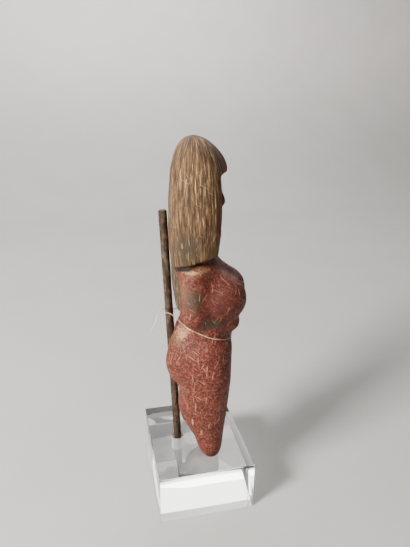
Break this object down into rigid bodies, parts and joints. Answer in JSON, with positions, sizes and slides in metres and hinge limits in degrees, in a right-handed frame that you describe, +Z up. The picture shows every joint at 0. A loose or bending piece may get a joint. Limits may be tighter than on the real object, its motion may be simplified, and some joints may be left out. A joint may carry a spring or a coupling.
{
  "type": "valdivia figurine",
  "caption": "Standing clay figurine with a long helmet of hair, tied to a thin metal rod in a clear acrylic block.",
  "frame": {"origin": "centre of the block's underside", "axes": "+Z up, +X along the block's front edge, -Y towards the block's front; the figurine faces +X, turned 16 degrees towards -Y"},
  "size_m": [0.0371, 0.043, 0.1371],
  "materials": {
    "burnished_clay": "red slip burnished by hand, worn and scratched, grey-brown on the hair",
    "dark_metal": "dark brown patina, satin",
    "clear_acrylic": "clear, polished, with a frosted white drilled hole",
    "nylon": "clear single thread"
  },
  "bodies": {
    "root": {"figurine": "burnished_clay", "support_rod": "dark_metal", "acrylic_block": "clear_acrylic", "nylon_tie": "nylon"}
  },
  "joints": []
}
